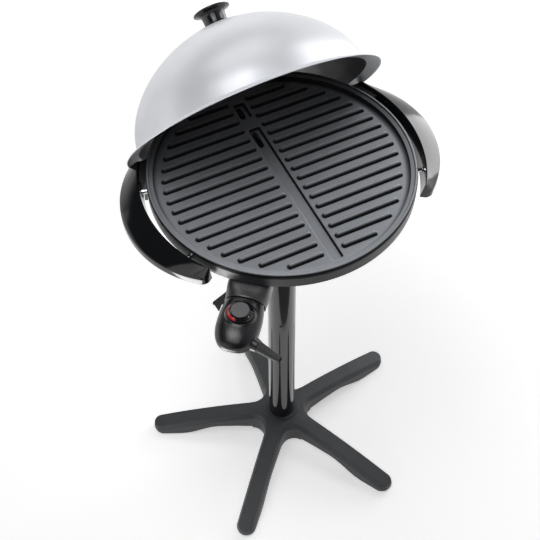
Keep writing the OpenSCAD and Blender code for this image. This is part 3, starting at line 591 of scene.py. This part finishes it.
def handle_section(a):
    """Closed loop of (radius, height) round the handle's shell in direction a."""
    tip = min(1.0, (a - HANDLE_FRONT) / TIP_TURN)
    slim = HANDLE_IN + 1.0
    out = slim + (handle_edge(a) - slim) * math.sqrt(max(0.0, 1 - (1 - tip) ** 2))
    k = min(1.0, (out - HANDLE_IN) / 7.0)
    low = -HANDLE_DROP - HANDLE_BAND
    from_front = max(0.0, (a - HANDLE_FRONT - 2.5) / 1.5)
    from_rear = max(0.0, (HANDLE_REAR - 3.4 - a) / 1.5)
    hollow = min(1.0, from_front, from_rear)
    top = [(HANDLE_IN - 6.5, low + 0.6), (HANDLE_IN - 0.5, -0.4), (HANDLE_IN - 0.2, 0.8),
           (HANDLE_IN + 0.2 * k, 1.9), (HANDLE_IN + 0.9 * k, 2.4), (HANDLE_IN + 1.7 * k, 2.0)]
    r0, z0 = top[-1]
    r1, z1 = out - 1.3 * k, -HANDLE_DROP + 1.0
    for i in range(1, 9):
        t = i / 8
        top.append((r0 + (r1 - r0) * t, z0 + (z1 - z0) * t + 1.1 * k * math.sin(math.pi * t)))
    top += [(out - 0.5 * k, -HANDLE_DROP + 0.1), (out - 0.1 * k, -HANDLE_DROP - 0.8),
            (out, -HANDLE_DROP - 2.0), (out, low + 2.0), (out - 0.2 * k, low + 0.8), (out - 0.8 * k, low)]
    rise = hollow * (HANDLE_BAND - 2.4)
    under = [(out - 2.6 * k, low), (out - 2.7 * k, low + rise),
             (HANDLE_IN + 3.0 * k, low + hollow * (-low - 2.5)),
             (HANDLE_IN - 3.7, low), (HANDLE_IN - 5.9, low)]
    return top + under


def handle(name, side):
    """A crescent handle, on the right for side 1 and on the left for -1, cut off under the lid's rim."""
    tips = [HANDLE_FRONT + TIP_TURN * t for t in (0.0, 0.03, 0.1, 0.22, 0.4, 0.65, 1.0, 1.4, 1.9)]
    steps = 56
    start = tips[-1]
    stations = tips + [start + (HANDLE_REAR - start) * i / steps for i in range(1, steps + 1)]
    bm = bmesh.new()
    loops = []
    for a in stations:
        c, t = math.cos(math.radians(a)), math.sin(math.radians(a))
        loops.append([bm.verts.new((side * r * c, r * t, z)) for r, z in handle_section(a)])
    for one, two in zip(loops, loops[1:]):
        for k in range(len(one)):
            m = (k + 1) % len(one)
            bm.faces.new((one[k], one[m], two[m], two[k]))
    bm.faces.new(loops[0])
    bm.faces.new(loops[-1])
    tilt = math.radians(LID_TILT)
    rim_normal = Vector((0, math.sin(tilt), math.cos(tilt)))
    rim_point = Vector((0, LID_BACK, LID_UP)) - 0.5 * rim_normal
    everything = bm.verts[:] + bm.edges[:] + bm.faces[:]
    cut = bmesh.ops.bisect_plane(bm, geom=everything, plane_co=rim_point, plane_no=rim_normal,
                                 clear_outer=True)
    cut_edges = [g for g in cut["geom_cut"] if isinstance(g, bmesh.types.BMEdge)]
    bmesh.ops.holes_fill(bm, edges=cut_edges, sides=200)
    bmesh.ops.recalc_face_normals(bm, faces=bm.faces)
    finish(bm, name, AT_RIM, "stand", ["gloss"], ["handle_" + name.split("_")[1]], 32)


# Thermostat

def oval(y_half, top, low, middle, n_top, n_low, count=48):
    """Closed loop of (y, z): a rounded form whose widest line lies at height middle."""
    points = []
    for k in range(count):
        a = 2 * math.pi * k / count
        c, t = math.cos(a), math.sin(a)
        n, reach = (n_top, top - middle) if t >= 0 else (n_low, middle - low)
        across = y_half * math.copysign(abs(c) ** (2 / n), c)
        points.append((across, middle + reach * math.copysign(abs(t) ** (2 / n), t)))
    return points


def skin(loops):
    """Vertices and faces of a skin over equal closed loops, closed at both ends."""
    count = len(loops[0])
    verts = [v for loop in loops for v in loop]
    faces = [list(range(count))[::-1], [len(verts) - count + k for k in range(count)]]
    for i in range(len(loops) - 1):
        for k in range(count):
            m = (k + 1) % count
            faces.append((i * count + k, i * count + m, (i + 1) * count + m, (i + 1) * count + k))
    return verts, faces


def body_loops():
    """Sections of the egg-shaped body from the hood's mouth to its round end."""
    loops = []
    wide = DIAL_X + 2
    end = PROBE_FACE + PROBE_LEN - wide
    xs = [PROBE_FACE + d for d in (0.0, 0.5, 2.0, 5.0, 9.0, 14.0, 20.0, 26.0)]
    xs += [wide + end * math.sin(math.radians(90 * i / 22)) for i in range(22)] + [wide + end * 0.9995]
    for x in xs:
        if x < wide:
            t = (x - PROBE_FACE) / (wide - PROBE_FACE)
            half = BODY_MOUTH + BODY_SWELL * math.sin(math.pi / 2 * t)
            rise, fall = BODY_RISE, BODY_FALL
        else:
            t = (x - wide) / end
            half = BODY_HALF * (1 - t ** 2.8) ** (1 / 2.3)
            rise = BODY_RISE * (1 - t ** 2.4) ** 0.5
            fall = BODY_FALL * (1 - t ** 3.0) ** 0.5
        inset = 0.8 if x < PROBE_FACE + 0.3 else 0.0
        top, low = -PROBE_SPLIT + rise - inset, -PROBE_SPLIT - fall + inset
        points = oval(half - inset, top, low, -PROBE_SPLIT, 2.15, 3.2)
        loops.append([(x, y, z) for y, z in points])
    return loops


def round_union(name, parts, cell, rounds):
    """Joins closed skins into one body on cells of that size, and blends its inner corners."""
    verts, faces = [], []
    for part_verts, part_faces in parts:
        base = len(verts)
        verts += part_verts
        faces += [[base + i for i in face] for face in part_faces]
    mesh = bpy.data.meshes.new(name)
    mesh.from_pydata(verts, [], faces)
    obj = add_object(name, mesh)
    remesh = obj.modifiers.new("join", "REMESH")
    remesh.mode = "VOXEL"
    remesh.voxel_size = cell
    blend = obj.modifiers.new("blend", "SMOOTH")
    blend.factor = 0.5
    blend.iterations = rounds
    done = final_mesh(obj)
    bpy.data.objects.remove(obj)
    bm = bmesh.new()
    bm.from_mesh(done)
    return bm


def thermostat():
    """The thermostat's outside: egg-shaped body, neck for the cord guard and collar under the dial."""
    neck = Matrix.Translation(Vector(GUARD_START)) @ Matrix.Rotation(math.radians(GUARD_AZ), 4, "Z")
    neck = neck @ Matrix.Rotation(math.radians(90), 4, "Y")
    flare = [(0.0, -40.0), (15.0, -40.0), (17.6, -31.0), (15.6, -22.0), (12.9, -14.0), (10.9, -7.5),
             (9.8, -3.0), (NECK_R + 0.3, 0.2), (0.0, 0.2)]
    neck_verts, neck_faces, _ = lathe(flare, 40)
    neck_verts = [tuple(neck @ Vector(v)) for v in neck_verts]
    collar_r = DIAL_D / 2 + COLLAR_MARGIN
    collar = [(0.0, -45.0), (collar_r + 4, -45.0), (collar_r + 1.2, -33.0), (collar_r, -30.4),
              (collar_r - 0.8, -29.6), (0.0, -29.6)]
    collar_verts, collar_faces, _ = lathe(collar, 64)
    collar_verts = [(x + DIAL_X, y + DIAL_Y, z) for x, y, z in collar_verts]
    parts = [skin(body_loops()), (neck_verts, neck_faces), (collar_verts, collar_faces)]
    bm = round_union("thermostat_form", parts, BODY_CELL, BODY_ROUNDS)
    finish(bm, "thermostat_body", AT_PROBE, "thermostat", ["control"],
           ["thermostat_top", "thermostat_bottom"], 60)


def hood():
    """The hood over the plug: a shell that grows out of the band and ends in a rounded lip."""
    loops = []
    x_root, x_mouth = 190.0, PROBE_FACE - 0.6
    outer = [(x_root, 0.0), (204.0, 0.0), (209.0, 0.12), (214.0, 0.38), (219.0, 0.68), (224.0, 0.9),
             (228.0, 0.99), (x_mouth - 0.8, 1.0), (x_mouth - 0.2, 1.0), (x_mouth, 1.0)]
    for i, (x, t) in enumerate(outer):
        back = (0.0, 0.25, 0.8)[max(0, i - len(outer) + 3)]
        top = -SKIRT_BOTTOM - 0.1 - (HOOD_TOP - SKIRT_BOTTOM - 0.1) * t
        half = HOOD_HALF_W + 1.4 * (1 - t)
        ring = oval(half - back, top - back, -HOOD_LOW, -PROBE_SPLIT, 5.0 - 2.95 * t, 9.0)
        loops.append([(x, y, z) for y, z in ring])
    for x in (x_mouth - 0.2, x_mouth - 1.0, 205.0, x_root):
        gap = 1.9 if x > x_mouth - 0.5 else 2.5
        ring = oval(HOOD_HALF_W - gap, -HOOD_TOP - gap, -HOOD_LOW, -PROBE_SPLIT, 2.05, 9.0)
        loops.append([(x, y, z) for y, z in ring])
    count = len(loops[0])
    verts = [v for loop in loops for v in loop]
    faces = []
    for i in range(len(loops)):
        j = (i + 1) % len(loops)
        for k in range(count):
            m = (k + 1) % count
            faces.append((i * count + k, i * count + m, j * count + m, j * count + k))
    bm = bmesh.new()
    made = [bm.verts.new(v) for v in verts]
    for face in faces:
        bm.faces.new([made[i] for i in face])
    everything = bm.verts[:] + bm.edges[:] + bm.faces[:]
    bmesh.ops.bisect_plane(bm, geom=everything, plane_co=(0, 0, -HOOD_LOW + 0.5), plane_no=(0, 0, -1),
                           clear_outer=True)
    bmesh.ops.recalc_face_normals(bm, faces=bm.faces)
    finish(bm, "hood_shell", AT_PROBE, "stand", ["hood"], ["probe_hood"], 40)


def cone_point(turn, up, clear=0.06):
    """Point just over the dial's sloping ring: turn in degrees, up in millimetres along the slope."""
    inward, rise = DIAL_SLOPE
    r = DIAL_D / 2 - 0.1 - inward * up + rise * clear
    z = DIAL_EDGE + rise * up + inward * clear
    return (r * math.cos(math.radians(turn)), r * math.sin(math.radians(turn)), z)


def dial():
    """The dial: an upright edge, a sloping ring that carries the marks and a flat top."""
    edge = DIAL_D / 2
    profile = [(0.0, 0.2), (edge, 0.2), (edge, 3.9), (edge - 0.1, DIAL_EDGE), (edge - 4.9, 8.2),
               (edge - 5.3, 8.5), (edge - 6.0, DIAL_TOP), (0.0, DIAL_TOP)]
    flat_top = len(profile) - 2
    verts, faces, owner = lathe(profile, 96)
    piece("dial_cap", verts, faces, AT_DIAL, "dial", ["gloss", "dial_face"], ["dial_knob"],
          [1 if i == flat_top else 0 for i in owner], 28)


def dial_marks():
    """Numbers, a red band that widens with the heat, and the off dot."""
    first, step = -22.0, 38.0
    verts, faces = [], []
    count = 40
    for i in range(count + 1):
        t = i / count
        turn = first + 14 - t * (3 * step)
        width = 1.0 + 3.0 * min(1.0, 1.5 * (1 - t))
        verts += [cone_point(turn, 0.5), cone_point(turn, 0.5 + width)]
        if i:
            faces.append((2 * i - 2, 2 * i - 1, 2 * i + 1, 2 * i))
    piece("dial_heat_band", verts, faces, AT_DIAL, "dial", ["red_print"])
    verts, faces = [], []
    for number in range(1, 6):
        outline, flat = number_mesh(str(number), 3.3)
        turn = first - step * (5 - number)
        base = len(verts)
        radius = DIAL_D / 2 - 2.6
        verts += [cone_point(turn + math.degrees(x / radius), y + 3.3, 0.16) for x, y in outline]
        faces += [[base + i for i in face] for face in flat]
    base = len(verts)
    for k in range(16):
        a = 2 * math.pi * k / 16
        verts.append(cone_point(62 + math.degrees(0.8 * math.cos(a) / 16.8), 3.2 + 0.8 * math.sin(a)))
    faces.append(list(range(base, base + 16)))
    piece("dial_numbers", verts, faces, AT_DIAL, "dial", ["white_print"])


def number_mesh(text, size):
    """Flat outline of a number, centred, as vertices and faces."""
    curve = bpy.data.curves.new("number", "FONT")
    curve.body = text
    curve.size = size
    curve.align_x = "CENTER"
    curve.resolution_u = 3
    obj = add_object("number", curve)
    mesh = final_mesh(obj)
    verts = [(v.co.x, v.co.y) for v in mesh.vertices]
    faces = [list(f.vertices) for f in mesh.polygons]
    middle = (min(y for _, y in verts) + max(y for _, y in verts)) / 2
    bpy.data.objects.remove(obj)
    return [(x, y - middle) for x, y in verts], faces


# Knob

def knob():
    """The lid's knob: a waisted stem under a broad rounded top."""
    edge = KNOB_D / 2
    profile = [(0.0, 0.0), (17.7, 0.0), (18.2, 0.3), (18.5, 1.0), (18.7, 4.0), (19.0, 9.0), (19.4, 14.0),
               (20.0, 17.2), (21.4, 19.0), (24.0, 20.2), (edge - 2.0, 21.9)]
    profile += arc(edge - 1.6, 23.7, 1.6, -60, 100, 9)
    profile += [(edge - 4.0, 25.9), (edge - 8.0, 27.2), (edge - 14.0, 28.7), (edge - 22.0, 29.8),
                (0.0, KNOB_H)]
    verts, faces, _ = lathe(profile, 128)
    on_lid = AT_LID @ Matrix.Translation(Vector((0, 0, LID_H + 1.5)))
    piece("knob_body", verts, faces, on_lid, "lid", ["gloss"], ["lid_knob"], None, 30)


lid_shell()
grill_plate()
handle("handle_right_shell", 1)
handle("handle_left_shell", -1)
thermostat()
hood()
dial()
dial_marks()
knob()


# Room, light and camera, in metres

FLOOR_HALF = 30.0
FLOOR_COLOUR = (0.90, 0.90, 0.90, 1)
SOFT_FILL = 0.02
FLOOR_FADE = (0.8, 2.4)
FLOOR_LIFT = (0.50, 1.0)
DARK_ABOVE = (0.08, 0.45)
RIGHT_GLOW = 0.67
FRONT_DARK = 0.45
AIM = (0.0, 0.05, 0.75)
# A dark card on the floor in front, seen only in shiny pieces: a painted dark reflection
DARK_REFLECTION_CARD = ((0.0, -0.28, 0.004), (0.43, -0.27, 0.004), (0.52, -0.38, 0.004), (0.02, -0.66, 0.004),
             (-0.53, -0.38, 0.004), (-0.40, -0.20, 0.004))
# A glowing card low at the front left, seen only in shiny pieces: a painted highlight along the left
# handle's edge
BRIGHT_REFLECTION_CARD = ((-0.88, -0.62, 0.15), (-0.44, -0.62, 0.15), (-0.44, -0.12, 0.15), (-0.88, -0.12, 0.15))

# Each lamp's width and height, its power in watts and its place
LAMPS = {
    "top_back": ((1.8, 1.2), 10.0, (0.0, 1.7, 2.7)),
    "top_front": ((1.1, 1.1), 8.0, (-0.6, -0.5, 2.3)),
    "overhead": ((1.0, 1.0), 12.0, (-0.5, 0.05, 2.6)),
    "near_right": ((0.6, 0.6), 4.2, (0.95, 0.3, 1.5)),
    "low_back": ((2.0, 1.0), 2.5, (0.0, 2.3, 0.9)),
    "right": ((1.1, 0.9), 10.0, (1.75, 0.50, 0.80)),
    "left": ((1.2, 0.9), 3.0, (-1.9, -0.9, 1.35)),
    "left_back": ((1.2, 1.0), 2.0, (-1.9, 1.3, 1.15)),
}

# The camera's place, the point it looks at, its roll in degrees, and its lens and sensor in millimetres
EYE = (-0.570, -1.1491, 2.265)
TARGET = (-0.0181, 0.0184, 0.5273)
ROLL = 0.724
LENS = 84.46
SENSOR = 36.0


def white_floor(mat):
    """Camera, mirrors and glass see the floor lifted to white; near the grill it keeps its shadows."""
    tree = mat.node_tree
    shader = tree.nodes["Principled BSDF"]
    shader.inputs["Base Color"].default_value = FLOOR_COLOUR
    shader.inputs["Roughness"].default_value = 0.9
    shader.inputs["Specular IOR Level"].default_value = 0.0
    path = tree.nodes.new("ShaderNodeLightPath")
    seen = math_node(tree, "MAXIMUM", path.outputs["Is Camera Ray"], path.outputs["Is Glossy Ray"])
    seen = math_node(tree, "MAXIMUM", seen, path.outputs["Is Transmission Ray"])
    coords = tree.nodes.new("ShaderNodeTexCoord")
    away = tree.nodes.new("ShaderNodeVectorMath")
    away.operation = "LENGTH"
    tree.links.new(coords.outputs["Object"], away.inputs[0])
    lift = tree.nodes.new("ShaderNodeMapRange")
    lift.interpolation_type = "SMOOTHSTEP"
    lift.inputs["From Min"].default_value, lift.inputs["From Max"].default_value = FLOOR_FADE
    lift.inputs["To Min"].default_value, lift.inputs["To Max"].default_value = FLOOR_LIFT
    tree.links.new(away.outputs["Value"], lift.inputs["Value"])
    glow = tree.nodes.new("ShaderNodeEmission")
    tree.links.new(math_node(tree, "MULTIPLY", seen, lift.outputs["Result"]), glow.inputs["Strength"])
    add = tree.nodes.new("ShaderNodeAddShader")
    tree.links.new(shader.outputs["BSDF"], add.inputs[0])
    tree.links.new(glow.outputs["Emission"], add.inputs[1])
    tree.links.new(add.outputs["Shader"], tree.nodes["Material Output"].inputs["Surface"])


def mirror_room(tree):
    """What shiny pieces mirror: white at the horizon, dark overhead and in front, lighter to the right.

    Returns the strength of the world's light, from 0 to 1.
    """
    coords = tree.nodes.new("ShaderNodeTexCoord")
    split = tree.nodes.new("ShaderNodeSeparateXYZ")
    tree.links.new(coords.outputs["Generated"], split.inputs["Vector"])
    rise = tree.nodes.new("ShaderNodeMapRange")
    rise.interpolation_type = "SMOOTHSTEP"
    rise.inputs["From Min"].default_value, rise.inputs["From Max"].default_value = DARK_ABOVE
    front = math_node(tree, "MAXIMUM", math_node(tree, "MULTIPLY", split.outputs["Y"], -FRONT_DARK), 0.0)
    tree.links.new(math_node(tree, "ADD", split.outputs["Z"], front), rise.inputs["Value"])
    right = math_node(tree, "MULTIPLY", math_node(tree, "MAXIMUM", split.outputs["X"], 0.0), RIGHT_GLOW)
    lost = math_node(tree, "MULTIPLY", rise.outputs["Result"], math_node(tree, "SUBTRACT", 1.0, right))
    return math_node(tree, "SUBTRACT", 1.0, lost)


def card(name, corners, look):
    """A flat card that only shiny pieces see: a painted reflection, dark or glowing, that neither shades
    nor lights anything else.
    """
    mesh = bpy.data.meshes.new(name)
    mesh.from_pydata(corners, [], [range(len(corners))])
    mesh.materials.append(MATS[look])
    obj = add_object(name, mesh)
    obj.visible_camera = False
    obj.visible_diffuse = False
    obj.visible_shadow = False


def room():
    """The floor, and a world that the camera sees as plain white."""
    mesh = bpy.data.meshes.new("floor")
    s = FLOOR_HALF
    mesh.from_pydata([(-s, -s, 0), (s, -s, 0), (s, s, 0), (-s, s, 0)], [], [(0, 1, 2, 3)])
    floor_mat = bpy.data.materials.new("floor_white")
    floor_mat.use_nodes = True
    white_floor(floor_mat)
    mesh.materials.append(floor_mat)
    obj = add_object("floor", mesh)

    world = bpy.data.worlds.new("studio")
    bpy.context.scene.world = world
    world.use_nodes = True
    tree = world.node_tree
    back = tree.nodes["Background"]
    back.inputs["Color"].default_value = (1, 1, 1, 1)
    path = tree.nodes.new("ShaderNodeLightPath")
    plain = math_node(tree, "MAXIMUM", path.outputs["Is Camera Ray"], path.outputs["Is Transmission Ray"])
    mirrored = math_node(tree, "MULTIPLY", path.outputs["Is Glossy Ray"], mirror_room(tree))
    seen = math_node(tree, "MAXIMUM", plain, mirrored)
    level = math_node(tree, "MAXIMUM", seen, SOFT_FILL)
    tree.links.new(level, back.inputs["Strength"])


def lamp(name, size, power, place):
    """A soft box that faces the grill."""
    data = bpy.data.lights.new(name, "AREA")
    data.shape = "RECTANGLE"
    data.size, data.size_y = size
    data.energy = power
    obj = add_object(name, data)
    obj.location = place
    obj.rotation_mode = "QUATERNION"
    obj.rotation_quaternion = (Vector(AIM) - Vector(place)).to_track_quat("-Z", "Y")
    obj.visible_camera = False


def camera():
    """The camera at the photograph's viewing angle, rolled a little about its line of sight."""
    eye = Vector(EYE)
    target = Vector(TARGET)
    roll = math.radians(ROLL)
    back = (eye - target).normalized()
    right = Vector((0, 0, 1)).cross(back).normalized()
    up = back.cross(right)
    r = math.cos(roll) * right - math.sin(roll) * up
    u = math.sin(roll) * right + math.cos(roll) * up
    data = bpy.data.cameras.new("camera")
    data.lens = LENS
    data.sensor_width = SENSOR
    data.clip_end = 100
    obj = add_object("camera", data)
    obj.matrix_world = Matrix(((r.x, u.x, back.x, eye.x), (r.y, u.y, back.y, eye.y),
                               (r.z, u.z, back.z, eye.z), (0, 0, 0, 1)))
    bpy.context.scene.camera = obj


room()
# Painted reflections: a dark card in front and a glowing card low at the front left, seen only in shiny
# pieces
card("painted_dark_reflection", DARK_REFLECTION_CARD, "card")
card("painted_highlight_card", BRIGHT_REFLECTION_CARD, "painted_bright_reflection")
for lamp_name, (lamp_size, power, place) in LAMPS.items():
    lamp(lamp_name, lamp_size, power, place)
camera()
bpy.context.scene.view_settings.view_transform = "Standard"
